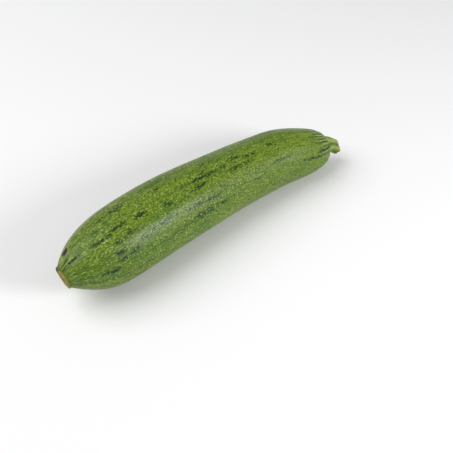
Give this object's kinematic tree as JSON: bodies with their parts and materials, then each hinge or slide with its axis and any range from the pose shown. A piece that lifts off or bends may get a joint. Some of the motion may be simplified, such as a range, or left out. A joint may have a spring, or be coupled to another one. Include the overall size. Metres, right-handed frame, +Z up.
{
  "type": "zucchini",
  "caption": "Light green speckled zucchini, lying on its side: a bowed fruit with a short cut stem and a dry blossom scar.",
  "frame": {"origin": "bottom centre of the whole object's box, on the surface that the fruit rests on", "axes": "+X from the blossom scar to the stem, +Y the outer side of the fruit's bow, +Z up from the surface"},
  "size_m": [0.1812, 0.0396, 0.0383],
  "materials": {
    "skin": "waxy green skin with fine pale speckles and dark green dashes along the ribs, softly glossy",
    "stem": "light green fibrous stalk with a paler cut face, dull",
    "scar": "dry tan cork with dark brown edges, dull"
  },
  "bodies": {
    "root": {"fruit": "skin", "stem": "stem", "blossom_scar": "scar"}
  },
  "joints": []
}
